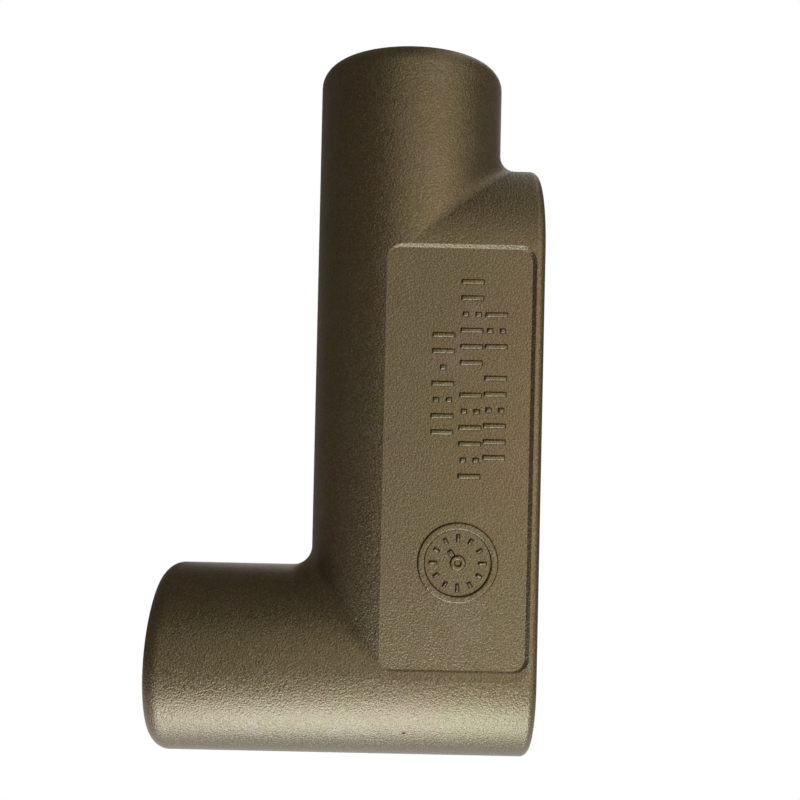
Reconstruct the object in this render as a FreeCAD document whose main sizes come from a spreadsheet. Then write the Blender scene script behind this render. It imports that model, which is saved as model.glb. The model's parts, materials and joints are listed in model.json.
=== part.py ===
import FreeCAD, Part
import math
import os

import Sketcher

# Conduit body of the LB pattern for 3/4 inch trade size, in millimetres: one stainless casting.
#
# The part stands upright.  +Z runs up the axis of the run hub, -X leaves the mouth of the back hub
# and +X leaves the cover opening.  The origin is the centre of the back hub's mouth, where the
# body is screwed to the conduit that holds it.
#
# The outside is three forms of one half width, tangent to each other: the run hub (a cylinder
# along Z), the back hub (a cylinder along X) and the oblong box that the cover closes.  The
# inside repeats them one wall smaller, with a threaded bore and a rounded bushing in each hub.

SIZES = [
    # alias, value, what it is
    ("hub_radius", 17.0, "outer radius of both hubs and half width of the box"),
    ("back_reach", 44.35, "mouth of the back hub to the axis of the run hub"),
    ("cover_reach", 23.55, "axis of the run hub to the cover face"),
    ("box_rise", 92.2, "axis of the back hub to the crown of the box"),
    ("passage_rise", 1.0, "inner crown of the box to the bushing of the run hub"),
    ("wall", 3.2, "wall of the casting"),
    ("hub_rim_round", 3.4, "rounding of the hubs' outer rims, as cast"),
    ("facing_stock", 0.55, "what the machining takes off the cast end of each hub"),
    ("face_edge_round", 1.5, "rounding of the box's edge round the cover face"),
    ("shoulder_blend", 3.0, "concave blend between run hub and box"),
    ("elbow_blend", 4.0, "concave blend between run hub and back hub"),
    ("hub_wall", 4.0, "outside of a hub to the root of its thread, mean of its taper"),
    ("thread_depth", 16.0, "mouth of a hub to the shoulder of its bushing"),
    ("mouth_chamfer", 0.4, "lead-in chamfer of a threaded mouth"),
    ("bushing_step", 2.7, "root of the thread to the bore of the integral bushing behind it"),
    ("bushing_length", 4.0, "length of the integral bushing"),
    ("bushing_bevel", 1.3, "bevel that keeps the bushing smooth to the wires"),
    ("recess_depth", 0.42, "depth of the shallow panel in each side"),
    ("recess_lip", 1.6, "cover face to the panel"),
    ("recess_past_axis", 4.5, "how far the panel's outline passes the run hub's axis"),
    ("recess_top_past", 0.4, "how far the panel passes the end of the flat side, at the top"),
    ("recess_bottom_inset", 2.0, "end of the flat side to the panel, at the bottom"),
    ("recess_corner", 3.0, "corner radius of the panel"),
    ("recess_slope", 58.0, "slope of the panel's walls from upright, in degrees"),
    ("foot_depth", 0.2, "depth of the soft foot below the panel"),
    ("foot_reach", 1.2, "how far the foot reaches below the panel"),
    ("screw_inset", 7.6, "round end of the box to the axis of its cover screw"),
    ("screw_radius", 2.1, "root of the cover screws' thread"),
    ("screw_depth", 9.0, "depth of a cover screw's hole, without its drill point"),
    ("drill_angle", 118.0, "angle of the drill point, in degrees"),
    ("boss_radius", 4.5, "inner screw boss"),
    ("boss_depth", 11.5, "length of an inner screw boss"),
    ("boss_blend", 1.2, "blend of a boss into the box's end wall"),
]

# Sizes and places that follow from the driving ones, as formulas of a second sheet.
PLACES = [
    ("face_x", "Sizes.back_reach + Sizes.cover_reach", "plane of the cover face"),
    ("inner_radius", "Sizes.hub_radius - Sizes.wall", "half width of the cavity"),
    ("thread_radius", "Sizes.hub_radius - Sizes.hub_wall", "root of the hub threads"),
    ("bushing_radius", "thread_radius - Sizes.bushing_step", "bore of the bushings"),
    ("round_top", "Sizes.box_rise - Sizes.hub_radius", "axis of the box's round top"),
    ("bushing_end", "Sizes.thread_depth + Sizes.bushing_length", "mouth to bushing's end"),
    ("passage_top", "Sizes.box_rise - Sizes.wall + Sizes.passage_rise", "end of the passage"),
    ("run_height", "passage_top + bushing_end", "plane of the run hub's mouth"),
    ("panel_left", "Sizes.back_reach - Sizes.recess_past_axis", "side panel, behind"),
    ("panel_right", "face_x - Sizes.recess_lip", "side panel, in front"),
    ("panel_top", "round_top + Sizes.recess_top_past", "side panel, top"),
    ("foot_low", "Sizes.recess_bottom_inset - Sizes.foot_reach", "foot of the panel, bottom"),
    ("upper_screw", "Sizes.box_rise - Sizes.screw_inset", "axis of the upper cover screw"),
    ("lower_screw", "Sizes.screw_inset - Sizes.hub_radius", "axis of the lower cover screw"),
    ("upper_root", "Sizes.box_rise - Sizes.wall / 2", "root of the upper boss, in the wall"),
    ("lower_root", "Sizes.wall / 2 - Sizes.hub_radius", "root of the lower boss, in the wall"),
]

NODE = "body_casting"
NEAR = 1e-4
CREASE = 1e-2
SHARES = (0.1, 0.5, 0.9)

UP = FreeCAD.Vector(0, 0, 1)


def fill_sheet(doc, name, rows, lead=""):
    """Writes one alias a row to a spreadsheet and returns the values that it then holds."""
    sheet = doc.addObject("Spreadsheet::Sheet", name)
    for row, (alias, content, meaning) in enumerate(rows, start=1):
        sheet.set(f"A{row}", alias)
        sheet.set(f"B{row}", f"{lead}{content}")
        sheet.setAlias(f"B{row}", alias)
        sheet.set(f"C{row}", meaning)
    doc.recompute()
    return {alias: float(sheet.get(alias)) for alias, _, _ in rows}


def make_sheets(doc):
    """The sheet of driving sizes and the sheet of what follows from them."""
    size = fill_sheet(doc, "Sizes", SIZES)
    size.update(fill_sheet(doc, "Places", PLACES, lead="="))
    return size


# ---------------------------------------------------------------- sketches


def origin_plane(body, role):
    return next(item for item in body.Origin.OriginFeatures if item.Role == role)


def new_sketch(body, name, role, offset="0"):
    """A sketch on one of the body's own origin planes, moved along its normal by an expression."""
    sketch = body.newObject("Sketcher::SketchObject", name)
    sketch.AttachmentSupport = [(origin_plane(body, role), "")]
    sketch.MapMode = "FlatFace"
    sketch.setExpression("AttachmentOffset.Base.z", offset)
    return sketch


def drive(sketch, name, expression, *constraint):
    """Adds a dimension to the sketch and binds it to the sheet."""
    index = sketch.addConstraint(Sketcher.Constraint(*constraint))
    sketch.renameConstraint(index, name)
    sketch.setExpression("Constraints." + name, expression)


def point(across, along):
    return FreeCAD.Vector(across, along, 0)


def circle_sketch(body, name, role, offset, radius, along=None, drawn_radius=10.0):
    """A circle on the sketch's origin, or shifted along the sketch's first axis."""
    sketch = new_sketch(body, name, role, offset)
    drawn_along = 0.0 if along is None else drawn_radius
    circle = sketch.addGeometry(Part.Circle(point(drawn_along, 0), UP, drawn_radius))
    drive(sketch, "radius", radius, "Radius", circle, drawn_radius)
    if along is None:
        sketch.addConstraint(Sketcher.Constraint("Coincident", circle, 3, -1, 1))
    else:
        sketch.addConstraint(Sketcher.Constraint("PointOnObject", circle, 3, -1))
        drive(sketch, "along", along, "DistanceX", -1, 1, circle, 3, drawn_radius)
    return sketch


def oblong_sketch(body, name, offset, radius):
    """The box's section: a round bottom on the back hub's axis, straight sides and a round top."""
    sketch = new_sketch(body, name, "YZ_Plane", offset)
    drawn, rise = 10.0, 40.0
    top_circle = Part.Circle(point(0, rise), UP, drawn)
    bottom_circle = Part.Circle(point(0, 0), UP, drawn)
    top = sketch.addGeometry(Part.ArcOfCircle(top_circle, 0, math.pi))
    bottom = sketch.addGeometry(Part.ArcOfCircle(bottom_circle, math.pi, 2 * math.pi))
    left = sketch.addGeometry(Part.LineSegment(point(-drawn, rise), point(-drawn, 0)))
    right = sketch.addGeometry(Part.LineSegment(point(drawn, 0), point(drawn, rise)))
    loop = [top, left, bottom, right]
    for i, piece in enumerate(loop):
        following = loop[(i + 1) % 4]
        sketch.addConstraint(Sketcher.Constraint("Tangent", piece, 2, following, 1))
    sketch.addConstraint(Sketcher.Constraint("Vertical", left))
    sketch.addConstraint(Sketcher.Constraint("Coincident", bottom, 3, -1, 1))
    sketch.addConstraint(Sketcher.Constraint("PointOnObject", top, 3, -2))
    drive(sketch, "radius", radius, "Radius", bottom, drawn)
    drive(sketch, "rise", "Places.round_top", "DistanceY", -1, 1, top, 3, rise)
    return sketch


def rounded_rectangle_sketch(body, name, role, offset, low, high, corner):
    """An upright rectangle with round corners; low and high are (along, up) expressions."""
    sketch = new_sketch(body, name, role, offset)
    size, radius = 10.0, 2.0
    inset = size - radius
    quarter = math.pi / 2
    starts = [point(radius, 0), point(size, radius), point(inset, size), point(0, inset)]
    ends = [point(inset, 0), point(size, inset), point(radius, size), point(0, radius)]
    centres = [point(inset, radius), point(inset, inset), point(radius, inset), point(radius, radius)]
    sides = []
    arcs = []
    for i, (start, end, centre) in enumerate(zip(starts, ends, centres)):
        sides.append(sketch.addGeometry(Part.LineSegment(start, end)))
        circle = Part.Circle(centre, UP, radius)
        first_angle = (i - 1) * quarter
        arc = Part.ArcOfCircle(circle, first_angle, first_angle + quarter)
        arcs.append(sketch.addGeometry(arc))
    for i in range(4):
        level = "Horizontal" if i % 2 == 0 else "Vertical"
        sketch.addConstraint(Sketcher.Constraint(level, sides[i]))
        sketch.addConstraint(Sketcher.Constraint("Tangent", sides[i], 2, arcs[i], 1))
        sketch.addConstraint(Sketcher.Constraint("Tangent", arcs[i], 2, sides[(i + 1) % 4], 1))
        if i:
            sketch.addConstraint(Sketcher.Constraint("Equal", arcs[0], arcs[i]))
    bottom, right, top, left = sides
    drive(sketch, "corner", corner, "Radius", arcs[0], radius)
    drive(sketch, "low_up", low[1], "DistanceY", -1, 1, bottom, 1, 0.1)
    drive(sketch, "low_along", low[0], "DistanceX", -1, 1, left, 1, 0.1)
    drive(sketch, "high_up", high[1], "DistanceY", -1, 1, top, 1, size)
    drive(sketch, "high_along", high[0], "DistanceX", -1, 1, right, 1, size)
    return sketch


def boss_sketch(body, place, sign):
    """A screw boss: a half round towards the opening and straight sides into the end wall."""
    sketch = new_sketch(body, place.title() + "BossOutline", "YZ_Plane", "Places.face_x")
    drawn, centre, root = 3.0, 20.0 * sign, 30.0 * sign
    side = -drawn * sign
    start = math.pi if sign > 0 else 0.0
    circle = Part.Circle(point(0, centre), UP, drawn)
    arc = sketch.addGeometry(Part.ArcOfCircle(circle, start, start + math.pi))
    near = sketch.addGeometry(Part.LineSegment(point(side, root), point(side, centre)))
    far = sketch.addGeometry(Part.LineSegment(point(-side, centre), point(-side, root)))
    end = sketch.addGeometry(Part.LineSegment(point(-side, root), point(side, root)))
    sketch.addConstraint(Sketcher.Constraint("Tangent", near, 2, arc, 1))
    sketch.addConstraint(Sketcher.Constraint("Tangent", arc, 2, far, 1))
    sketch.addConstraint(Sketcher.Constraint("Coincident", far, 2, end, 1))
    sketch.addConstraint(Sketcher.Constraint("Coincident", end, 2, near, 1))
    sketch.addConstraint(Sketcher.Constraint("Horizontal", end))
    sketch.addConstraint(Sketcher.Constraint("Vertical", near))
    sketch.addConstraint(Sketcher.Constraint("Vertical", far))
    sketch.addConstraint(Sketcher.Constraint("PointOnObject", arc, 3, -2))
    drive(sketch, "radius", "Sizes.boss_radius", "Radius", arc, drawn)
    drive(sketch, "centre", f"Places.{place}_screw", "DistanceY", -1, 1, arc, 3, centre)
    drive(sketch, "root", f"Places.{place}_root", "DistanceY", -1, 1, end, 1, root)
    return sketch


# ---------------------------------------------------------------- features


def extrude(body, kind, name, sketch, length, reverse=False, taper="0"):
    """A Pad or Pocket of the sketch by an expression; the sketch's side is chosen by reverse."""
    feature = body.newObject("PartDesign::" + kind, name)
    feature.Profile = sketch
    feature.Reversed = reverse
    feature.setExpression("Length", length)
    feature.setExpression("TaperAngle", taper)
    body.Document.recompute()
    return feature


def pocket(body, name, sketch, length, reverse=False, taper="0"):
    """A Pocket that must take material away."""
    before = body.Shape.Volume
    feature = extrude(body, "Pocket", name, sketch, length, reverse, taper)
    if feature.Shape.Volume >= before - NEAR:
        raise RuntimeError(f"{name} cuts nothing")
    return feature


def dress(body, kind, name, chosen, size_property, size):
    """A Fillet or Chamfer on every edge of the present shape that the test picks."""
    base = body.Tip
    edges = base.Shape.Edges
    real = [(i, edge) for i, edge in enumerate(edges, start=1) if not edge.Degenerated]
    names = [f"Edge{i}" for i, edge in real if chosen(edge)]
    if not names:
        raise RuntimeError(f"{name} finds no edge")
    feature = body.newObject("PartDesign::" + kind, name)
    feature.Base = (base, names)
    feature.setExpression(size_property, size)
    body.Document.recompute()
    return feature


def middle_direction(edge):
    """The edge's direction at the middle of its length."""
    return edge.tangentAt((edge.FirstParameter + edge.LastParameter) / 2)


def is_crease(edge, x, z, sense):
    """An edge where two cylinders of one radius cross: it climbs at 45 degrees from (x, z)."""
    first, last = edge.FirstParameter, edge.LastParameter
    points = [edge.valueAt(first + share * (last - first)) for share in SHARES]
    return all(abs(p.z - z - sense * (p.x - x)) < CREASE and p.z > z - CREASE for p in points)


def is_mouth_circle(edge, size, radius, stock=0.0):
    """A full circle of a given radius in the mouth of either hub, or the stock in front of it."""
    curve = edge.Curve
    if curve.TypeId != "Part::GeomCircle" or abs(curve.Radius - radius) > NEAR:
        return False
    run_mouth = FreeCAD.Vector(size["back_reach"], 0, size["run_height"])
    away = min(curve.Center.Length, (curve.Center - run_mouth).Length)
    return abs(away - stock) < NEAR


def on_plane_x(edge, x):
    box = edge.BoundBox
    return abs(box.XMin - x) < NEAR and abs(box.XMax - x) < NEAR


# ---------------------------------------------------------------- the casting


def outer_forms(body, size):
    """The two hubs and the box, with the blends between them and the rounded outer edges.

    Each hub is cast a little long and rounded, and facing then cuts its mouth flat.
    """
    radius, stock = "Sizes.hub_radius", "Sizes.facing_stock"
    run = circle_sketch(body, "RunHubCircle", "XY_Plane", "0", radius, "Sizes.back_reach")
    extrude(body, "Pad", "RunHub", run, f"Places.run_height + {stock}")
    back = circle_sketch(body, "BackHubCircle", "YZ_Plane", f"-{stock}", radius)
    extrude(body, "Pad", "BackHub", back, f"Places.face_x + {stock}")
    box = oblong_sketch(body, "BoxOblong", "Sizes.back_reach", "Sizes.hub_radius")
    extrude(body, "Pad", "Box", box, "Sizes.cover_reach")

    def on_shoulder(edge):
        return is_crease(edge, size["back_reach"], size["round_top"], 1)

    def on_elbow(edge):
        return is_crease(edge, size["back_reach"], 0.0, -1)

    def on_rim(edge):
        return is_mouth_circle(edge, size, size["hub_radius"], size["facing_stock"])

    def on_face(edge):
        return on_plane_x(edge, size["face_x"])

    dress(body, "Fillet", "ShoulderBlend", on_shoulder, "Radius", "Sizes.shoulder_blend")
    dress(body, "Fillet", "ElbowBlend", on_elbow, "Radius", "Sizes.elbow_blend")
    dress(body, "Fillet", "HubRims", on_rim, "Radius", "Sizes.hub_rim_round")
    face = "min(Sizes.face_edge_round; Sizes.wall / 2)"
    dress(body, "Fillet", "FaceEdge", on_face, "Radius", face)
    run_end = circle_sketch(
        body, "RunFacingCircle", "XY_Plane", "Places.run_height", radius, "Sizes.back_reach"
    )
    pocket(body, "RunFacing", run_end, stock, reverse=True)
    back_end = circle_sketch(body, "BackFacingCircle", "YZ_Plane", "0", radius)
    pocket(body, "BackFacing", back_end, stock)


def side_panels(body):
    """The shallow panel in the near side, with its soft foot, and their mirror in the far side.

    The panel's floor is flat and runs out on the round of the run hub, so it has no wall there.
    """
    panel_slope = "Sizes.recess_slope"
    foot_run = "Sizes.foot_reach + Sizes.foot_depth * tan(Sizes.recess_slope)"
    foot_slope = f"atan(({foot_run}) / Sizes.foot_depth)"
    cuts = []
    for name, bottom, depth, slope in (
        ("Panel", "Sizes.recess_bottom_inset", "Sizes.recess_depth", panel_slope),
        ("PanelFoot", "Places.foot_low", "Sizes.foot_depth", foot_slope),
    ):
        low = ("Places.panel_left", bottom)
        high = ("Places.panel_right", "Places.panel_top")
        outline = rounded_rectangle_sketch(
            body, name + "Outline", "XZ_Plane", "Sizes.hub_radius", low, high, "Sizes.recess_corner"
        )
        cuts.append(pocket(body, name, outline, depth, taper=f"-{slope}"))
    far_panel = body.newObject("PartDesign::Mirrored", "FarPanel")
    far_panel.Originals = cuts
    far_panel.MirrorPlane = (origin_plane(body, "XZ_Plane"), [""])
    body.Tip = far_panel
    body.Document.recompute()


def cavity(body):
    """The inside: the box's opening and the two passages behind it."""
    opening = oblong_sketch(body, "OpeningOblong", "Places.face_x", "Places.inner_radius")
    pocket(body, "Opening", opening, "Sizes.cover_reach")
    run = circle_sketch(
        body, "RunPassageCircle", "XY_Plane", "0", "Places.inner_radius", "Sizes.back_reach"
    )
    pocket(body, "RunPassage", run, "Places.passage_top", reverse=True)
    back = circle_sketch(
        body, "BackPassageCircle", "YZ_Plane", "Places.bushing_end", "Places.inner_radius"
    )
    pocket(body, "BackPassage", back, "Places.face_x - Places.bushing_end", reverse=True)


def hub_bores(body, size):
    """The threaded bore and the bevelled bushing of each hub, with the mouth's lead-in."""
    for hub, role, offset, along, reverse in (
        ("Run", "XY_Plane", "Places.run_height", "Sizes.back_reach", False),
        ("Back", "YZ_Plane", "0", None, True),
    ):
        bushing = circle_sketch(
            body, hub + "BushingCircle", role, offset, "Places.bushing_radius", along
        )
        pocket(body, hub + "Bushing", bushing, "Places.bushing_end", reverse)
        bore = circle_sketch(body, hub + "BoreCircle", role, offset, "Places.thread_radius", along)
        pocket(body, hub + "Bore", bore, "Sizes.thread_depth", reverse)

    def on_bushing(edge):
        curve = edge.Curve
        is_round = curve.TypeId == "Part::GeomCircle"
        return is_round and abs(curve.Radius - size["bushing_radius"]) < NEAR

    def on_mouth(edge):
        return is_mouth_circle(edge, size, size["thread_radius"])

    bevel = "min(Sizes.bushing_bevel; Sizes.bushing_length / 3)"
    dress(body, "Chamfer", "BushingBevels", on_bushing, "Size", bevel)
    dress(body, "Chamfer", "MouthChamfers", on_mouth, "Size", "Sizes.mouth_chamfer")


def screw_bosses(body, size):
    """The two inner bosses, blended into the end walls."""
    for place, sign in (("upper", 1), ("lower", -1)):
        outline = boss_sketch(body, place, sign)
        extrude(body, "Pad", place.title() + "Boss", outline, "Sizes.boss_depth", reverse=True)

    def on_boss_root(edge):
        across = middle_direction(edge).cross(FreeCAD.Vector(1, 0, 0))
        if edge.Curve.TypeId != "Part::GeomLine" or across.Length > NEAR:
            return False
        centre = edge.CenterOfMass
        at_side = abs(abs(centre.y) - size["boss_radius"]) < NEAR
        above = centre.z > size["upper_screw"] + NEAR
        below = centre.z < size["lower_screw"] - NEAR
        is_long = edge.Length > size["boss_depth"] / 2
        return at_side and is_long and (above or below)

    dress(body, "Fillet", "BossRoots", on_boss_root, "Radius", "Sizes.boss_blend")


def screw_holes(body):
    """The two blind holes for the cover screws, with drill points."""
    sketch = new_sketch(body, "ScrewCircles", "YZ_Plane", "Places.face_x")
    drawn = 2.0
    for place, along in (("upper", 20.0), ("lower", -20.0)):
        circle = sketch.addGeometry(Part.Circle(point(0, along), UP, drawn))
        sketch.addConstraint(Sketcher.Constraint("PointOnObject", circle, 3, -2))
        drive(sketch, place + "_radius", "Sizes.screw_radius", "Radius", circle, drawn)
        drive(sketch, place, f"Places.{place}_screw", "DistanceY", -1, 1, circle, 3, along)
    body.Document.recompute()
    hole = body.newObject("PartDesign::Hole", "ScrewHoles")
    hole.Profile = sketch
    hole.DepthType = "Dimension"
    hole.ThreadType = "None"
    hole.DrillPoint = "Angled"
    hole.setExpression("Diameter", "2 * Sizes.screw_radius")
    hole.setExpression("Depth", "Sizes.screw_depth")
    hole.setExpression("DrillPointAngle", "Sizes.drill_angle")
    body.Document.recompute()


def make_casting(doc, size):
    """The whole casting as one PartDesign body."""
    body = doc.addObject("PartDesign::Body", "BodyCasting")
    body.Label = NODE
    outer_forms(body, size)
    side_panels(body)
    cavity(body)
    hub_bores(body, size)
    screw_bosses(body, size)
    screw_holes(body)
    return body


def check(doc, parts):
    """Stops on any object that failed to compute and on any shape that isn't one valid solid."""
    for item in doc.Objects:
        if "Invalid" in item.State or "Error" in item.State:
            raise RuntimeError(f"{item.Name} failed: {item.State}")
    for part in parts:
        shape = part.Shape
        if shape.isNull() or not shape.isValid() or len(shape.Solids) != 1:
            raise RuntimeError(f"{part.Label} isn't one valid solid")


def main():
    doc = FreeCAD.newDocument("ConduitBody")
    size = make_sheets(doc)
    parts = [make_casting(doc, size)]
    doc.recompute()
    check(doc, parts)
    os.makedirs("parts", exist_ok=True)
    for part in parts:
        part.Shape.exportStep(os.path.join("parts", part.Label + ".step"))
        print(part.Label, round(part.Shape.Volume), "cubic mm")


main()
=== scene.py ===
"""A cast stainless conduit body of the LB pattern, dressed and lit in a plain studio.

The casting itself comes with the frame.  This script gives it its as-cast finish, cuts the thread
ridges of both hubs and of the cover screws' holes, raises the foundry marks on the near side panel
and sets up the camera, the floor and the light.
"""

import json
import logging
import math
from dataclasses import dataclass, field
from enum import Enum
from typing import Callable, Iterable

import bpy
from mathutils import Euler, Matrix, Vector

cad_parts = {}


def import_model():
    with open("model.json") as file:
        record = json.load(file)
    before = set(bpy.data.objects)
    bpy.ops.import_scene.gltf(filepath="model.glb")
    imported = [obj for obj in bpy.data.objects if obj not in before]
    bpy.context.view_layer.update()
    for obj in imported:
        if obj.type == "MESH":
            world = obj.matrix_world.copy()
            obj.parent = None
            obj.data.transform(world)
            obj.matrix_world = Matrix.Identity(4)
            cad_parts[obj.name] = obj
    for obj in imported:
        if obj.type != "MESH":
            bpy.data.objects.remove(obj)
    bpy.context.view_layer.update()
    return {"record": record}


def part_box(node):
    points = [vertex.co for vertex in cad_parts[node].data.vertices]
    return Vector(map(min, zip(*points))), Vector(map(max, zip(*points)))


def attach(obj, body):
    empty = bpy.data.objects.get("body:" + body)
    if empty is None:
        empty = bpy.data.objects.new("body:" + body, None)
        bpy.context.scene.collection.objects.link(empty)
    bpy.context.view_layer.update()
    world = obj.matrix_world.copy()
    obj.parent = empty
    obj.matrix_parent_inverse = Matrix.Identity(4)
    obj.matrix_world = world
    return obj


LOG = logging.getLogger("conduit_body")
MM = 0.001
BODY = "root"
CASTING_NODE = "body_casting"
NEAR = 0.001 * MM
INCH = 25.4
QUARTER_TURN = math.pi / 2
WHITE = (1.0, 1.0, 1.0, 1.0)

# The steps from an sRGB value to a linear one.
SRGB_TOP = 255
SRGB_KNEE = 0.04045
SRGB_SLOPE = 12.92
SRGB_LIFT = 0.055
SRGB_POWER = 2.4

# A Mix node's sockets for colours, whose names its sockets for plain numbers share.
MIX_SHARE, MIX_UNDER, MIX_OVER, MIX_OUT = 0, 6, 7, 2


# ------------------------------------------------------------------------------------------------
# Small helpers
# ------------------------------------------------------------------------------------------------


def linear(hex_colour: str) -> tuple[float, float, float, float]:
    """Turns an sRGB hex colour into linear values.

    Args:
        hex_colour: six hex digits with a leading #.

    Returns:
        Red, green, blue and an alpha of one.
    """
    red, green, blue = (
        part / SRGB_SLOPE
        if part <= SRGB_KNEE
        else ((part + SRGB_LIFT) / (1 + SRGB_LIFT)) ** SRGB_POWER
        for part in (value / SRGB_TOP for value in bytes.fromhex(hex_colour[1:]))
    )
    return (red, green, blue, 1.0)


def add_node(
    tree: bpy.types.NodeTree,
    kind: str,
    values: dict[int | str, object] | None = None,
    links: dict[int | str, bpy.types.NodeSocket] | None = None,
    **settings: object,
) -> bpy.types.Node:
    """Adds one node with its settings, its sockets' values and its links.

    Args:
        tree: the node tree to add it to.
        kind: the node's type name without the ShaderNode prefix.
        values: input sockets, by name or number, and what each is set to.
        links: input sockets, by name or number, and the output linked to each.
        settings: the node's own properties.

    Returns:
        The new node.
    """
    node = tree.nodes.new("ShaderNode" + kind)
    for name, value in settings.items():
        setattr(node, name, value)
    for socket, value in (values or {}).items():
        node.inputs[socket].default_value = value
    for socket, output in (links or {}).items():
        tree.links.new(output, node.inputs[socket])
    return node


def cleared(owner: bpy.types.Material | bpy.types.World) -> bpy.types.NodeTree:
    """Gives a material or a world an empty node tree.

    Args:
        owner: what the nodes will belong to.

    Returns:
        Its node tree, with no nodes.
    """
    owner.use_nodes = True
    owner.node_tree.nodes.clear()
    return owner.node_tree


def deselect_all() -> None:
    """Leaves edit mode, if it is on, and deselects every object."""
    if bpy.context.object and bpy.context.object.mode != "OBJECT":
        bpy.ops.object.mode_set(mode="OBJECT")
    bpy.ops.object.select_all(action="DESELECT")


def choose(piece: bpy.types.Object) -> None:
    """Makes one object the only selected one and the active one.

    Args:
        piece: the object that the next operators work on.
    """
    deselect_all()
    piece.select_set(True)
    bpy.context.view_layer.objects.active = piece


def select_vertices(piece: bpy.types.Object, test: Callable[[Vector], bool]) -> None:
    """Selects vertices by their place, and leaves the piece in edit mode.

    Args:
        piece: the mesh object.
        test: tells from a vertex's place whether to select it.
    """
    choose(piece)
    bpy.ops.object.mode_set(mode="EDIT")
    bpy.ops.mesh.select_mode(type="VERT")
    bpy.ops.mesh.select_all(action="DESELECT")
    bpy.ops.object.mode_set(mode="OBJECT")
    for vertex in piece.data.vertices:
        vertex.select = test(vertex.co)
    bpy.ops.object.mode_set(mode="EDIT")


def join(pieces: list[bpy.types.Object]) -> bpy.types.Object:
    """Joins mesh objects into the first of them.

    Args:
        pieces: the mesh objects, of which the others are used up.

    Returns:
        The first, which now holds all the meshes.
    """
    deselect_all()
    for piece in pieces:
        piece.select_set(True)
    bpy.context.view_layer.objects.active = pieces[0]
    bpy.ops.object.join()
    return pieces[0]


def copy_of(model: bpy.types.Object) -> bpy.types.Object:
    """Copies a model with a mesh of its own.

    Args:
        model: what is copied.

    Returns:
        The copy, selected.
    """
    choose(model)
    bpy.ops.object.duplicate(linked=False)
    return bpy.context.object


def discard(models: Iterable[bpy.types.Object]) -> None:
    """Deletes models that have been copied as often as they are needed.

    Args:
        models: the objects to delete.
    """
    deselect_all()
    for model in models:
        model.select_set(True)
    bpy.ops.object.delete()


def settle(piece: bpy.types.Object, name: str, smooth_degrees: float) -> bpy.types.Object:
    """Names a piece, applies its place, closes it and turns its faces outwards.

    Args:
        piece: the mesh object.
        name: its name in the model.
        smooth_degrees: edges flatter than this are shaded smooth.

    Returns:
        The same object, at the origin.
    """
    choose(piece)
    piece.name = name
    piece.data.name = name
    bpy.ops.object.transform_apply(location=True, rotation=True, scale=True)
    bpy.ops.object.mode_set(mode="EDIT")
    bpy.ops.mesh.select_all(action="SELECT")
    bpy.ops.mesh.remove_doubles(threshold=NEAR)
    bpy.ops.mesh.normals_make_consistent(inside=False)
    bpy.ops.object.mode_set(mode="OBJECT")
    bpy.ops.object.shade_smooth_by_angle(angle=math.radians(smooth_degrees))
    return piece


# ------------------------------------------------------------------------------------------------
# Finishes
# ------------------------------------------------------------------------------------------------


@dataclass(frozen=True)
class Lumps:
    """A noise pattern: the size of its lumps, its octaves and the weight of the finer ones."""

    size_mm: float
    octaves: float
    weight: float = 0.5


@dataclass(frozen=True)
class Tint:
    """A colour over the others: none where its pattern is below low, and all of it above high."""

    colour: str
    lumps: Lumps
    low: float
    high: float


@dataclass(frozen=True)
class Swell:
    """Rises and hollows of the surface that follow a pattern."""

    lumps: Lumps
    height_mm: float
    strength: float = 1.0


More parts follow.
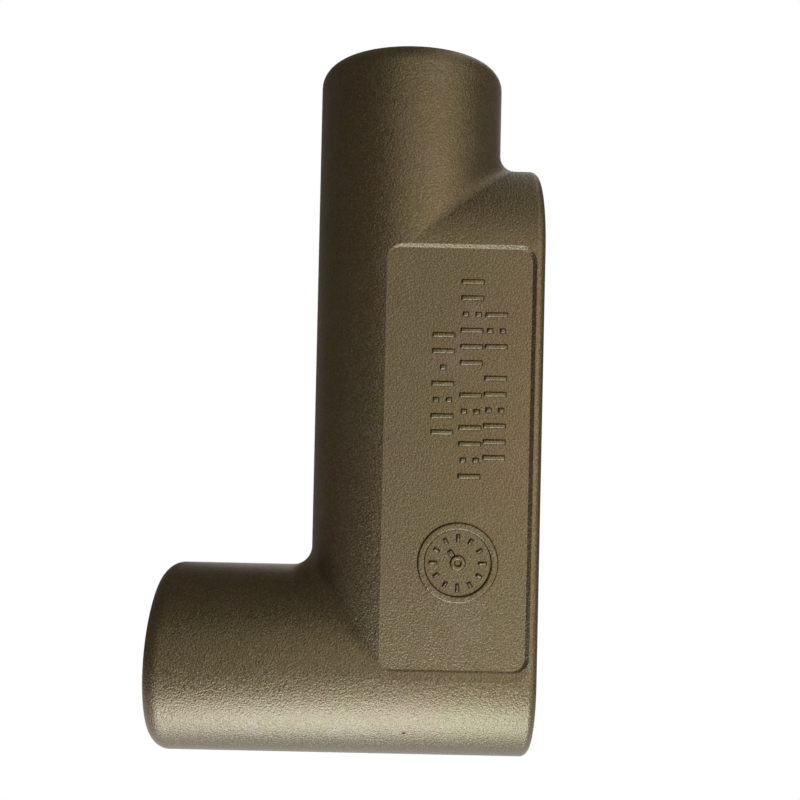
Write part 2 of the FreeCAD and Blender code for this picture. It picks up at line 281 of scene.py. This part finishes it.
@dataclass(frozen=True)
class CastStainless:
    """Investment-cast 316 stainless steel, bead blasted and left with its warm, dull skin.

    The shell mould leaves a fine orange-peel grain, the blasting makes it sparkle where the light
    grazes it, and the heat leaves a brown to olive tint that varies over a few centimetres.  Part
    of the sparkle is painted: pale specks in the colour stand in for the glints.

    Blasting beads and shell grit are 0.1 to 0.2 mm across, which is too fine to show, so the grit
    and the grain are drawn about twice as coarse.
    """

    # The bare skin is a warm grey-brown.  Over it lie the heat's olive and rose, the darker stain
    # between the ripples, and last pale specks on the grit's pattern: painted sparkle that stands
    # in for the glints of the blasted grain.
    skin: str = "#5f5039"
    grit: Lumps = Lumps(0.24, 1.0)
    tints: tuple[Tint, ...] = (
        Tint("#5d5238", Lumps(14.0, 2.0), 0.42, 0.62),
        Tint("#645643", Lumps(8.4, 3.0), 0.55, 0.75),
        Tint("#4e422d", Lumps(2.4, 5.0, 0.65), 0.60, 0.95),
        # Painted sparkle: pale specks of the grit's pattern, standing in for glints.
        Tint("#9e947a", grit, 0.42, 1.30),
    )

    # The mould's slow ripple, and on it the grain that breaks up the highlights.
    swells: tuple[Swell, ...] = (
        Swell(Lumps(2.4, 3.0), 0.02, 0.8),
        Swell(Lumps(0.33, 1.0), 0.10),
    )

    # Small pits, a few to each side of the casting; their dark floors are painted shade.
    pit_shade: str = "#3a3022"
    pit_mm: float = 0.30
    pit_spacing_mm: float = 13.0
    pit_height_mm: float = 0.15

    # Satin on the whole, and a little glossier in the hollows of the grit than on its peaks.
    metallic: float = 0.95
    roughness: float = 0.36
    smoother: float = 0.07
    rougher: float = 0.10
    hollow: float = 0.3
    peak: float = 0.7

    def build(self) -> bpy.types.Material:
        """Makes the material from patterns in the casting's own millimetres.

        Returns:
            The node material.
        """
        material = bpy.data.materials.new("cast_stainless_blasted")
        tree = cleared(material)
        place = add_node(tree, "TexCoord").outputs["Object"]
        wanted = [layer.lumps for layer in self.tints + self.swells]
        patterns = {
            lumps: add_node(
                tree,
                "TexNoise",
                values={
                    "Scale": 1 / (lumps.size_mm * MM),
                    "Detail": lumps.octaves,
                    "Roughness": lumps.weight,
                },
                links={"Vector": place},
            ).outputs["Fac"]
            for lumps in dict.fromkeys(wanted)
        }
        pits = self._pits(tree, place)
        gloss = add_node(
            tree,
            "MapRange",
            values={
                "From Min": self.hollow,
                "From Max": self.peak,
                "To Min": self.roughness - self.smoother,
                "To Max": self.roughness + self.rougher,
            },
            links={"Value": patterns[self.grit]},
        )
        surface = add_node(
            tree,
            "BsdfPrincipled",
            values={"Metallic": self.metallic},
            links={
                "Base Color": self._colour(tree, patterns, pits),
                "Roughness": gloss.outputs["Result"],
                "Normal": self._relief(tree, patterns, pits),
            },
        )
        add_node(tree, "OutputMaterial", links={"Surface": surface.outputs[0]})
        return material

    def _pits(
        self, tree: bpy.types.NodeTree, place: bpy.types.NodeSocket
    ) -> bpy.types.NodeSocket:
        """Scatters the few small pits that gas and shell grit leave.

        Args:
            tree: the material's node tree.
            place: each point's place on the casting.

        Returns:
            One in the pits, and zero around them.
        """
        share = self.pit_mm / self.pit_spacing_mm
        cells = add_node(
            tree,
            "TexVoronoi",
            values={"Scale": 1 / (self.pit_spacing_mm * MM), "Randomness": 1.0},
            links={"Vector": place},
        )
        return add_node(
            tree,
            "MapRange",
            values={"From Min": share, "From Max": share / 2},
            links={"Value": cells.outputs["Distance"]},
        ).outputs["Result"]

    def _colour(
        self,
        tree: bpy.types.NodeTree,
        patterns: dict[Lumps, bpy.types.NodeSocket],
        pits: bpy.types.NodeSocket,
    ) -> bpy.types.NodeSocket:
        """Lays the tints over the skin one by one, the painted sparkle among them, and the painted
        shade of the pits' floors last.

        Args:
            tree: the material's node tree.
            patterns: each pattern's output.
            pits: one in the pits.

        Returns:
            The surface's colour.
        """
        layers = [
            (
                add_node(
                    tree,
                    "MapRange",
                    values={"From Min": tint.low, "From Max": tint.high},
                    links={"Value": patterns[tint.lumps]},
                ).outputs["Result"],
                tint.colour,
            )
            for tint in self.tints
        ]
        under: dict[int | str, bpy.types.NodeSocket] = {}
        # The last layer is painted shade on the pits' floors.
        for share, colour in layers + [(pits, self.pit_shade)]:
            mixed = add_node(
                tree,
                "Mix",
                values={MIX_UNDER: linear(self.skin), MIX_OVER: linear(colour)},
                links={MIX_SHARE: share} | under,
                data_type="RGBA",
            )
            under = {MIX_UNDER: mixed.outputs[MIX_OUT]}
        return under[MIX_UNDER]

    def _relief(
        self,
        tree: bpy.types.NodeTree,
        patterns: dict[Lumps, bpy.types.NodeSocket],
        pits: bpy.types.NodeSocket,
    ) -> bpy.types.NodeSocket:
        """Raises the ripple, the grain on it and, downwards, the pits.

        Args:
            tree: the material's node tree.
            patterns: each pattern's output.
            pits: one in the pits.

        Returns:
            The surface's normal.
        """
        under: dict[int | str, bpy.types.NodeSocket] = {}
        for swell in self.swells:
            raised = add_node(
                tree,
                "Bump",
                values={"Strength": swell.strength, "Distance": swell.height_mm * MM},
                links={"Height": patterns[swell.lumps]} | under,
            )
            under = {"Normal": raised.outputs["Normal"]}
        return add_node(
            tree,
            "Bump",
            values={"Strength": 1.0, "Distance": self.pit_height_mm * MM},
            links={"Height": pits} | under,
            invert=True,
        ).outputs["Normal"]


@dataclass(frozen=True)
class MachinedStainless:
    """316 stainless steel where a tap has cut through the cast skin.

    It is brighter and greyer than the skin, and fine tearing breaks up its gleam.  Real tearing
    is under 0.1 mm, which is too fine to show, so it is drawn a few times as coarse.
    """

    colour: str = "#a8a294"
    roughness: float = 0.32
    tearing: Swell = Swell(Lumps(0.35, 2.0), 0.01, 0.5)

    def build(self) -> bpy.types.Material:
        """Makes the material.

        Returns:
            The node material.
        """
        material = bpy.data.materials.new("machined_stainless_turned")
        tree = cleared(material)
        place = add_node(tree, "TexCoord").outputs["Object"]
        lumps = self.tearing.lumps
        torn = add_node(
            tree,
            "TexNoise",
            values={
                "Scale": 1 / (lumps.size_mm * MM),
                "Detail": lumps.octaves,
                "Roughness": lumps.weight,
            },
            links={"Vector": place},
        )
        bump = add_node(
            tree,
            "Bump",
            values={
                "Strength": self.tearing.strength,
                "Distance": self.tearing.height_mm * MM,
            },
            links={"Height": torn.outputs["Fac"]},
        )
        surface = add_node(
            tree,
            "BsdfPrincipled",
            values={
                "Base Color": linear(self.colour),
                "Metallic": 1.0,
                "Roughness": self.roughness,
            },
            links={"Normal": bump.outputs["Normal"]},
        )
        add_node(tree, "OutputMaterial", links={"Surface": surface.outputs[0]})
        return material


# ------------------------------------------------------------------------------------------------
# The pieces
# ------------------------------------------------------------------------------------------------


@dataclass
class Mount:
    """A place where something is fastened, as the frame's record states it."""

    name: str
    place: Vector
    axis: Vector
    sizes: dict[str, float]

    @classmethod
    def read(cls, record: dict, name: str) -> "Mount":
        """Finds a mount by name in the record.

        Args:
            record: the frame's record.
            name: the mount's name.

        Returns:
            The mount, in metres and with its own sizes.
        """
        row = next(item for item in record["mounts"] if item["name"] == name)
        return cls(name, Vector(row["pos_m"]), Vector(row["axis"]), row["dims"])


@dataclass
class ThreadRidge:
    """The ridge of an internal thread, as one helical piece seated in its plain bore.

    Sizes are in millimetres.  The model winds down from the origin; its base is sunk into the
    bore's wall, and the whole narrows with the taper.

    The ridge's foot is root_share of the pitch wide, and its crest crest_share of the foot.  The
    crest fades out towards each end over fade_turns turns, and there it lies buried in the wall.
    """

    bore_radius: float
    depth: float
    pitch: float
    height: float
    taper: float = 0.0
    start: float = 0.5
    sunk: float = 0.15
    steps: int = 64
    root_share: float = 0.98
    crest_share: float = 0.14
    fade_turns: float = 0.3
    buried: float = 0.05
    corners: int = 4
    smooth_degrees: float = 50.0
    turns: int = field(init=False)
    model: bpy.types.Object = field(init=False)

    def __post_init__(self) -> None:
        """Counts the whole turns that fit and builds the model."""
        self.turns = int((self.depth - self.start) / self.pitch)
        self.model = self._profile()
        self._wind()
        self._close_ends()
        self._fade_ends()
        self._narrow()

    def seat(self, name: str, mount: Mount, material: bpy.types.Material) -> bpy.types.Object:
        """Copies the model into one hole.

        Args:
            name: the finished piece's name.
            mount: the hole's mouth and its way out.
            material: the finish.

        Returns:
            The finished piece.
        """
        ridge = copy_of(self.model)
        turn = mount.axis.to_track_quat("Z", "Y").to_matrix().to_4x4()
        drop = Vector((0, 0, -(self.start + self.pitch / 2) * MM))
        ridge.matrix_world = Matrix.Translation(mount.place) @ turn @ Matrix.Translation(drop)
        settle(ridge, name, self.smooth_degrees)
        ridge.data.materials.append(material)
        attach(ridge, BODY)
        return ridge

    def _profile(self) -> bpy.types.Object:
        """Draws the ridge's section: a rectangle whose inner side is narrowed to the crest.

        Returns:
            The section, upright beside the axis.
        """
        deselect_all()
        base = (self.bore_radius + self.sunk) * MM
        tip = (self.bore_radius - self.height) * MM
        middle = (base + tip) / 2
        bpy.ops.mesh.primitive_plane_add(size=1, location=(middle, 0, 0))
        section = bpy.context.object
        section.scale = (base - tip, self.pitch * self.root_share * MM, 1)
        section.rotation_euler = (QUARTER_TURN, 0, 0)
        bpy.ops.object.transform_apply(location=True, rotation=True, scale=True)
        select_vertices(section, lambda place: place.x < middle)
        bpy.ops.transform.resize(value=(1, 1, self.crest_share))
        bpy.ops.mesh.select_all(action="SELECT")
        bpy.ops.mesh.delete(type="ONLY_FACE")
        bpy.ops.object.mode_set(mode="OBJECT")
        return section

    def _wind(self) -> None:
        """Winds the section down the bore, one pitch a turn."""
        choose(self.model)
        screw = self.model.modifiers.new("wind", "SCREW")
        screw.axis = "Z"
        screw.screw_offset = -self.pitch * MM
        screw.iterations = self.turns
        screw.steps = self.steps
        screw.render_steps = self.steps
        bpy.ops.object.modifier_apply(modifier=screw.name)

    def _close_ends(self) -> None:
        """Caps the first and the last section."""
        choose(self.model)
        bpy.ops.object.mode_set(mode="EDIT")
        bpy.ops.mesh.select_mode(type="EDGE")
        bpy.ops.mesh.select_all(action="DESELECT")
        bpy.ops.mesh.select_non_manifold(extend=False)
        bpy.ops.mesh.fill_holes(sides=self.corners)
        bpy.ops.object.mode_set(mode="OBJECT")

    def _fade_ends(self) -> None:
        """Draws the crest of both ends out to the wall, so the thread runs out as a tapped one."""
        tip = (self.bore_radius - self.height) * MM
        draw = (self.bore_radius + self.buried) / (self.bore_radius - self.height)
        half = self.pitch / 2 * MM
        for level in (0.0, -self.turns * self.pitch * MM):
            select_vertices(
                self.model,
                lambda place, level=level: (
                    place.x > 0
                    and abs(place.y) < NEAR
                    and abs(place.x - tip) < NEAR
                    and abs(place.z - level) < half
                ),
            )
            bpy.ops.transform.resize(
                value=(draw, draw, 1),
                center_override=(0, 0, 0),
                use_proportional_edit=True,
                use_proportional_connected=True,
                proportional_edit_falloff="LINEAR",
                proportional_size=math.tau * self.fade_turns * self.bore_radius * MM,
            )
            bpy.ops.object.mode_set(mode="OBJECT")

    def _narrow(self) -> None:
        """Tapers the ridge towards its deep end."""
        if not self.taper:
            return
        length = self.turns * self.pitch
        choose(self.model)
        narrow = self.model.modifiers.new("taper", "SIMPLE_DEFORM")
        narrow.deform_method = "TAPER"
        narrow.deform_axis = "Z"
        narrow.factor = self.taper / 2 * length / self.bore_radius
        bpy.ops.object.modifier_apply(modifier=narrow.name)


class Tally(Enum):
    """The tally marks that a row is made of, and the sign for each."""

    BAR = "|"
    PAIR = ":"
    DOT = "."
    GAP = " "


@dataclass(frozen=True)
class TallyRow:
    """One row of tally marks, read downwards.

    Its inset is from the cover face and its top is above the back hub's axis, in millimetres.
    """

    inset: float
    top: float
    pitch: float
    marks: str


@dataclass
class PanelMarks:
    """Plain foundry marks raised on the near side panel: tally bars, dots and a date dial.

    Sizes are in millimetres, and the pointer's turn is in degrees from the way to the cover face.
    Each kind of mark is modelled once, flat on the panel's plane at the origin, and stamped
    wherever it is wanted.
    """

    floor: float
    face: float
    relief: float = 0.40
    sunk: float = 0.10
    stroke: float = 1.10
    slope: float = 0.56
    edge: float = 0.12
    edge_steps: int = 3
    bar_length: float = 4.1
    dot_length: float = 1.25
    dot_apart: float = 2.2
    rows: tuple[TallyRow, ...] = (
        TallyRow(8.3, 63.6, 2.72, "|:| ||:|||"),
        TallyRow(12.5, 69.2, 2.78, "||:||| |:||:|"),
        TallyRow(17.3, 60.0, 2.78, "||.|:||"),
    )
    dial_inset: float = 14.1
    dial_up: float = 21.0
    dial_radius: float = 7.05
    dial_band: float = 1.5
    dial_steps: int = 96
    hours: int = 12
    quarters: int = 4
    tick_length: float = 1.3
    tick_width: float = 0.85
    quarter_length: float = 1.65
    pivot_radius: float = 0.9
    pointer_length: float = 1.5
    pointer_reach: float = 2.0
    pointer_turn: float = 125.0
    smooth_degrees: float = 35.0

    def build(self, material: bpy.types.Material) -> bpy.types.Object:
        """Raises every mark and joins them into one piece.

        Args:
            material: the casting's own finish.

        Returns:
            The finished piece.
        """
        marks = join(self._tallies() + self._dial())
        bpy.ops.object.transform_apply(location=True, rotation=True, scale=True)
        marks.rotation_euler = (QUARTER_TURN, 0, 0)
        marks.location = (self.face * MM, -self.floor * MM, 0)
        settle(marks, "panel_marks", self.smooth_degrees)
        marks.data.materials.append(material)
        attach(marks, BODY)
        return marks

    def _tallies(self) -> list[bpy.types.Object]:
        """Stamps the rows of bars and dots.

        Returns:
            The marks, flat and in their places.
        """
        bar = self._bar(self.bar_length, self.stroke)
        dot = self._bar(self.dot_length, self.stroke)
        kinds = {
            Tally.BAR: ((bar, 0.0),),
            Tally.PAIR: ((dot, -self.dot_apart / 2), (dot, self.dot_apart / 2)),
            Tally.DOT: ((dot, 0.0),),
            Tally.GAP: (),
        }
        stamped = [
            self._stamp(model, shift - row.inset, row.top - number * row.pitch)
            for row in self.rows
            for number, sign in enumerate(row.marks)
            for model, shift in kinds[Tally(sign)]
        ]
        discard((bar, dot))
        return stamped

    def _dial(self) -> list[bpy.types.Object]:
        """Stamps the date dial: its ring, its ticks, its pivot and its pointer.

        Returns:
            The dial's marks, flat and in their places.
        """
        across = -self.dial_inset
        parts = [
            self._ring(across, self.dial_up, self.dial_radius, self.dial_band),
            self._ring(across, self.dial_up, self.pivot_radius + self.stroke / 2, self.stroke),
        ]
        tick = self._bar(self.tick_length, self.tick_width)
        quarter = self._bar(self.quarter_length, self.tick_width)
        pointer = self._bar(self.pointer_length, self.stroke)
        reach = self.dial_radius - self.dial_band - self.tick_length
        for hour in range(self.hours):
            angle = math.tau * hour / self.hours
            parts.append(
                self._stamp(
                    quarter if hour * self.quarters % self.hours == 0 else tick,
                    across + reach * math.cos(angle),
                    self.dial_up + reach * math.sin(angle),
                    angle,
                )
            )
        angle = math.radians(self.pointer_turn)
        parts.append(
            self._stamp(
                pointer,
                across + self.pointer_reach * math.cos(angle),
                self.dial_up + self.pointer_reach * math.sin(angle),
                angle,
            )
        )
        discard((tick, quarter, pointer))
        return parts

    def _stamp(
        self, model: bpy.types.Object, across: float, up: float, turn: float = 0.0
    ) -> bpy.types.Object:
        """Copies a mark to a place of the panel.

        Args:
            model: the mark, modelled at the origin.
            across: where it goes along X from the cover face.
            up: where it goes above the back hub's axis.
            turn: how far it is turned about its middle, in radians.

        Returns:
            The copy.
        """
        mark = copy_of(model)
        mark.rotation_euler = (0, 0, turn)
        mark.location = Vector((across, up, 0)) * MM
        return mark

    def _bar(self, long: float, wide: float) -> bpy.types.Object:
        """Models one bar with sloping sides and rounded edges, its foot sunk under the panel.

        Args:
            long: its length at the foot.
            wide: its width at the foot.

        Returns:
            The model, lying along X at the origin.
        """
        deselect_all()
        bpy.ops.mesh.primitive_cube_add(size=1)
        bar = bpy.context.object
        bar.scale = Vector((long, wide, self.relief + self.sunk)) * MM
        bar.location = (0, 0, (self.relief - self.sunk) / 2 * MM)
        bpy.ops.object.transform_apply(location=True, rotation=False, scale=True)
        select_vertices(bar, lambda place: place.z > 0)
        bpy.ops.transform.resize(
            value=((long - self.slope) / long, (wide - self.slope) / wide, 1)
        )
        bpy.ops.object.mode_set(mode="OBJECT")
        self._round(bar)
        return bar

    def _ring(self, across: float, up: float, outer: float, band: float) -> bpy.types.Object:
        """Models a round band with sloping sides.

        Args:
            across: its centre along X from the cover face.
            up: its centre above the back hub's axis.
            outer: its outer radius at the foot.
            band: its width at the foot.

        Returns:
            The ring in its place.
        """
        deselect_all()
        bpy.ops.mesh.primitive_circle_add(
            vertices=self.dial_steps, radius=outer * MM, location=(0, 0, -self.sunk * MM)
        )
        ring = bpy.context.object
        bpy.ops.object.mode_set(mode="EDIT")
        bpy.ops.mesh.select_all(action="SELECT")
        reach = outer
        rise = (self.relief + self.sunk) * MM
        lean = self.slope / 2
        for wanted, climb in (
            (outer - lean, rise),
            (outer - band + lean, 0),
            (outer - band, -rise),
        ):
            bpy.ops.mesh.extrude_edges_move(TRANSFORM_OT_translate={"value": (0, 0, climb)})
            bpy.ops.transform.resize(value=(wanted / reach, wanted / reach, 1))
            reach = wanted
        bpy.ops.mesh.select_all(action="DESELECT")
        bpy.ops.mesh.select_mode(type="EDGE")
        bpy.ops.mesh.select_non_manifold(extend=False)
        bpy.ops.mesh.bridge_edge_loops()
        bpy.ops.object.mode_set(mode="OBJECT")
        self._round(ring)
        ring.location = ring.location + Vector((across, up, 0)) * MM
        return ring

    def _round(self, mark: bpy.types.Object) -> None:
        """Rounds a mark's edges as the mould and the blasting leave them.

        Args:
            mark: the mark's model.
        """
        choose(mark)
        bevel = mark.modifiers.new("edges", "BEVEL")
        bevel.width = self.edge * MM
        bevel.segments = self.edge_steps
        bpy.ops.object.modifier_apply(modifier=bevel.name)


@dataclass
class ConduitBody:
    """The casting with its threads and its marks.  Sizes are in millimetres."""

    record: dict
    skin: CastStainless = CastStainless()
    cut: MachinedStainless = MachinedStainless()
    hub_threads_per_inch: int = 14
    hub_thread_height: float = 1.45
    hub_taper: float = 1 / 16
    hub_sunk: float = 0.6
    screw_threads_per_inch: int = 32
    screw_thread_height: float = 0.42
    screw_depth: float = 9.0
    screw_start: float = 0.15
    screw_sunk: float = 0.05
    screw_steps: int = 32
    panel_depth: float = 0.42

    def build(self) -> None:
        """Dresses the casting and adds every piece."""
        skin = self.skin.build()
        cut = self.cut.build()
        for slot in bpy.data.objects[CASTING_NODE].material_slots:
            slot.material = skin
        LOG.info("casting dressed")
        self._hub_threads(cut)
        self._screw_threads(cut)
        self._marks(skin)

    def _hub_threads(self, material: bpy.types.Material) -> None:
        """Cuts the tapered threads of the two hubs, which are alike.

        Args:
            material: the cut metal's finish.
        """
        mounts = [Mount.read(self.record, name) for name in ("run_hub", "back_hub")]
        thread = ThreadRidge(
            bore_radius=mounts[0].sizes["r_mm"],
            depth=mounts[0].sizes["length_mm"],
            pitch=INCH / self.hub_threads_per_inch,
            height=self.hub_thread_height,
            taper=self.hub_taper,
            sunk=self.hub_sunk,
        )
        for mount in mounts:
            thread.seat(mount.name + "_thread", mount, material)
            LOG.info("%s thread cut", mount.name)
        discard((thread.model,))

    def _screw_threads(self, material: bpy.types.Material) -> None:
        """Cuts the threads of the two cover screws' holes.

        Args:
            material: the cut metal's finish.
        """
        mount = Mount.read(self.record, "cover_screws")
        thread = ThreadRidge(
            bore_radius=mount.sizes["hole_r_mm"],
            depth=self.screw_depth,
            pitch=INCH / self.screw_threads_per_inch,
            height=self.screw_thread_height,
            start=self.screw_start,
            sunk=self.screw_sunk,
            steps=self.screw_steps,
        )
        half = Vector((0, 0, mount.sizes["spacing_y_mm"] / 2 * MM))
        for name, shift in (("upper", half), ("lower", -half)):
            hole = Mount(name, mount.place + shift, mount.axis, mount.sizes)
            thread.seat(hole.name + "_screw_thread", hole, material)
        discard((thread.model,))
        LOG.info("screw threads cut")

    def _marks(self, material: bpy.types.Material) -> None:
        """Raises the foundry marks on the near side panel.

        Args:
            material: the casting's own finish.
        """
        low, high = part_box(CASTING_NODE)
        marks = PanelMarks(floor=-low[1] / MM - self.panel_depth, face=high[0] / MM)
        marks.build(material)
        LOG.info("marks raised")


# ------------------------------------------------------------------------------------------------
# Studio
# ------------------------------------------------------------------------------------------------


@dataclass(frozen=True)
class Cloth:
    """A grey cloth that hides the white room from the metal on one side.

    Seen from above, it reaches from its first place to its second; it hangs from high down to
    low.  All are in millimetres.
    """

    name: str
    first: tuple[float, float]
    second: tuple[float, float]
    low: float
    high: float
    shade: str


@dataclass(frozen=True)
class SoftBox:
    """A soft lamp: its place and size in millimetres, its power and its colour."""

    name: str
    place: tuple[float, float, float]
    wide: float
    high: float
    watts: float
    colour: str


@dataclass
class Studio:
    """Camera, floor, room, cloths and lamps.

    Places and sizes are millimetres in the object's frame, and the camera's turn is in degrees.
    """

    camera_place: tuple[float, float, float] = (43.03, -167.45, 47.50)
    camera_turn: tuple[float, float, float] = (90.448, -1.277, -0.120)
    lens: float = 39.63
    sensor: float = 36.0
    clip_near: float = 10.0
    clip_far: float = 100_000.0
    floor_drop: float = 190.0
    floor_size: float = 6000.0
    floor_shade: str = "#e6e6e4"
    room_shade: str = "#fff6ea"
    room_strength: float = 0.6
    centre: tuple[float, float, float] = (40.0, 0.0, 45.0)
    walls: tuple[Cloth, ...] = (
        Cloth("cloth_left", (-75, -335), (-330, 180), -120, 500, "#b4aea4"),
        Cloth("cloth_behind", (-330, 180), (-130, 620), -120, 500, "#b4aea4"),
        Cloth("cloth_right", (360, -110), (250, 420), -120, 500, "#d0ccc2"),
    )
    ceiling: Cloth = Cloth("cloth_above", (-340, -330), (110, 620), 330, 330, "#b4aea4")
    lamps: tuple[SoftBox, ...] = (
        SoftBox("below", (30, -86, -165), 200, 130, 0.66, "#c9deff"),
        SoftBox("right", (230, -300, 30), 200, 260, 0.24, "#ffeedd"),
        SoftBox("low", (60, -230, -150), 60, 40, 0.09, "#eaf0ff"),
    )

    def build(self) -> None:
        """Sets up everything that isn't the object."""
        bpy.context.scene.view_settings.view_transform = "Standard"
        self._camera()
        self._floor()
        self._room()
        for cloth in self.walls:
            self._hang(cloth)
        self._spread(self.ceiling)
        for lamp in self.lamps:
            self._lamp(lamp)

    def _camera(self) -> None:
        """Sets up the camera, level and in front of the near side."""
        data = bpy.data.cameras.new("camera")
        data.lens = self.lens
        data.sensor_width = self.sensor
        data.clip_start = self.clip_near * MM
        data.clip_end = self.clip_far * MM
        camera = bpy.data.objects.new("camera", data)
        camera.location = Vector(self.camera_place) * MM
        camera.rotation_euler = Euler([math.radians(v) for v in self.camera_turn])
        bpy.context.scene.collection.objects.link(camera)
        bpy.context.scene.camera = camera

    def _floor(self) -> None:
        """Lays a floor of matt white paper far below the object, seen and mirrored as white."""
        deselect_all()
        bpy.ops.mesh.primitive_plane_add(
            size=self.floor_size * MM, location=(0, 0, -self.floor_drop * MM)
        )
        floor = bpy.context.object
        floor.name = "floor"
        material = bpy.data.materials.new("floor_white")
        tree = cleared(material)
        paper = add_node(tree, "BsdfDiffuse", values={"Color": linear(self.floor_shade)})
        glow = add_node(tree, "Emission", values={"Color": WHITE, "Strength": 1.0})
        mixed = add_node(
            tree,
            "MixShader",
            links={0: self._seen(tree), 1: paper.outputs[0], 2: glow.outputs[0]},
        )
        add_node(tree, "OutputMaterial", links={"Surface": mixed.outputs[0]})
        floor.data.materials.append(material)

    def _seen(self, tree: bpy.types.NodeTree) -> bpy.types.NodeSocket:
        """Tells the rays that see the studio from those that light the object with it.

        Args:
            tree: the node tree of the floor or the room.

        Returns:
            One for camera, glossy and transmission rays, and zero for the others.
        """
        path = add_node(tree, "LightPath")
        mirrored = add_node(
            tree,
            "Math",
            links={
                0: path.outputs["Is Glossy Ray"],
                1: path.outputs["Is Transmission Ray"],
            },
            operation="MAXIMUM",
        )
        return add_node(
            tree,
            "Math",
            links={0: path.outputs["Is Camera Ray"], 1: mirrored.outputs[0]},
            operation="MAXIMUM",
        ).outputs[0]

    def _room(self) -> None:
        """Puts up a white room, seen and mirrored, that lights the object only a little."""
        world = bpy.data.worlds.new("studio")
        bpy.context.scene.world = world
        tree = cleared(world)
        white = add_node(tree, "Background", values={"Color": WHITE, "Strength": 1.0})
        dim = add_node(
            tree,
            "Background",
            values={"Color": linear(self.room_shade), "Strength": self.room_strength},
        )
        mixed = add_node(
            tree,
            "MixShader",
            links={0: self._seen(tree), 1: dim.outputs[0], 2: white.outputs[0]},
        )
        add_node(tree, "OutputWorld", links={"Surface": mixed.outputs[0]})

    def _dress(self, plane: bpy.types.Object, cloth: Cloth) -> None:
        """Gives a plane a cloth's matt shade, and keeps it out of the camera's view.

        Args:
            plane: the cloth's object.
            cloth: its name and its shade.
        """
        plane.name = cloth.name
        material = bpy.data.materials.new(cloth.name)
        tree = cleared(material)
        matt = add_node(tree, "BsdfDiffuse", values={"Color": linear(cloth.shade)})
        add_node(tree, "OutputMaterial", links={"Surface": matt.outputs[0]})
        plane.data.materials.append(material)
        plane.visible_camera = False
        plane.visible_shadow = False

    def _hang(self, cloth: Cloth) -> None:
        """Hangs an upright cloth between its two places.

        Args:
            cloth: its places and its shade.
        """
        deselect_all()
        first, second = Vector(cloth.first), Vector(cloth.second)
        middle = (first + second) / 2
        along = second - first
        bpy.ops.mesh.primitive_plane_add(
            size=MM,
            location=(middle.x * MM, middle.y * MM, (cloth.low + cloth.high) / 2 * MM),
            rotation=(QUARTER_TURN, 0, math.atan2(along.y, along.x)),
        )
        plane = bpy.context.object
        plane.scale = (along.length, cloth.high - cloth.low, 1)
        self._dress(plane, cloth)

    def _spread(self, cloth: Cloth) -> None:
        """Spreads a level cloth above the object.

        Args:
            cloth: its corners, its height and its shade.
        """
        deselect_all()
        (left, front), (right, back) = cloth.first, cloth.second
        bpy.ops.mesh.primitive_plane_add(
            size=MM, location=Vector(((left + right) / 2, (front + back) / 2, cloth.high)) * MM
        )
        plane = bpy.context.object
        plane.scale = (right - left, back - front, 1)
        self._dress(plane, cloth)

    def _lamp(self, box: SoftBox) -> None:
        """Hangs a soft lamp that looks at the object's middle.

        Args:
            box: its place, size, power and colour.
        """
        data = bpy.data.lights.new(box.name, "AREA")
        data.shape = "RECTANGLE"
        data.size = box.wide * MM
        data.size_y = box.high * MM
        data.energy = box.watts
        data.color = linear(box.colour)[:3]
        lamp = bpy.data.objects.new(box.name, data)
        lamp.location = Vector(box.place) * MM
        look = (Vector(self.centre) - Vector(box.place)).to_track_quat("-Z", "Y")
        lamp.rotation_euler = look.to_euler()
        lamp.visible_camera = False
        bpy.context.scene.collection.objects.link(lamp)


def main() -> None:
    """Builds the scene."""
    logging.basicConfig(level=logging.INFO, format="%(name)s: %(message)s")
    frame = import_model()
    Studio().build()
    ConduitBody(record=frame["record"]).build()
    LOG.info("sizes written")


if __name__ == "__main__":
    main()
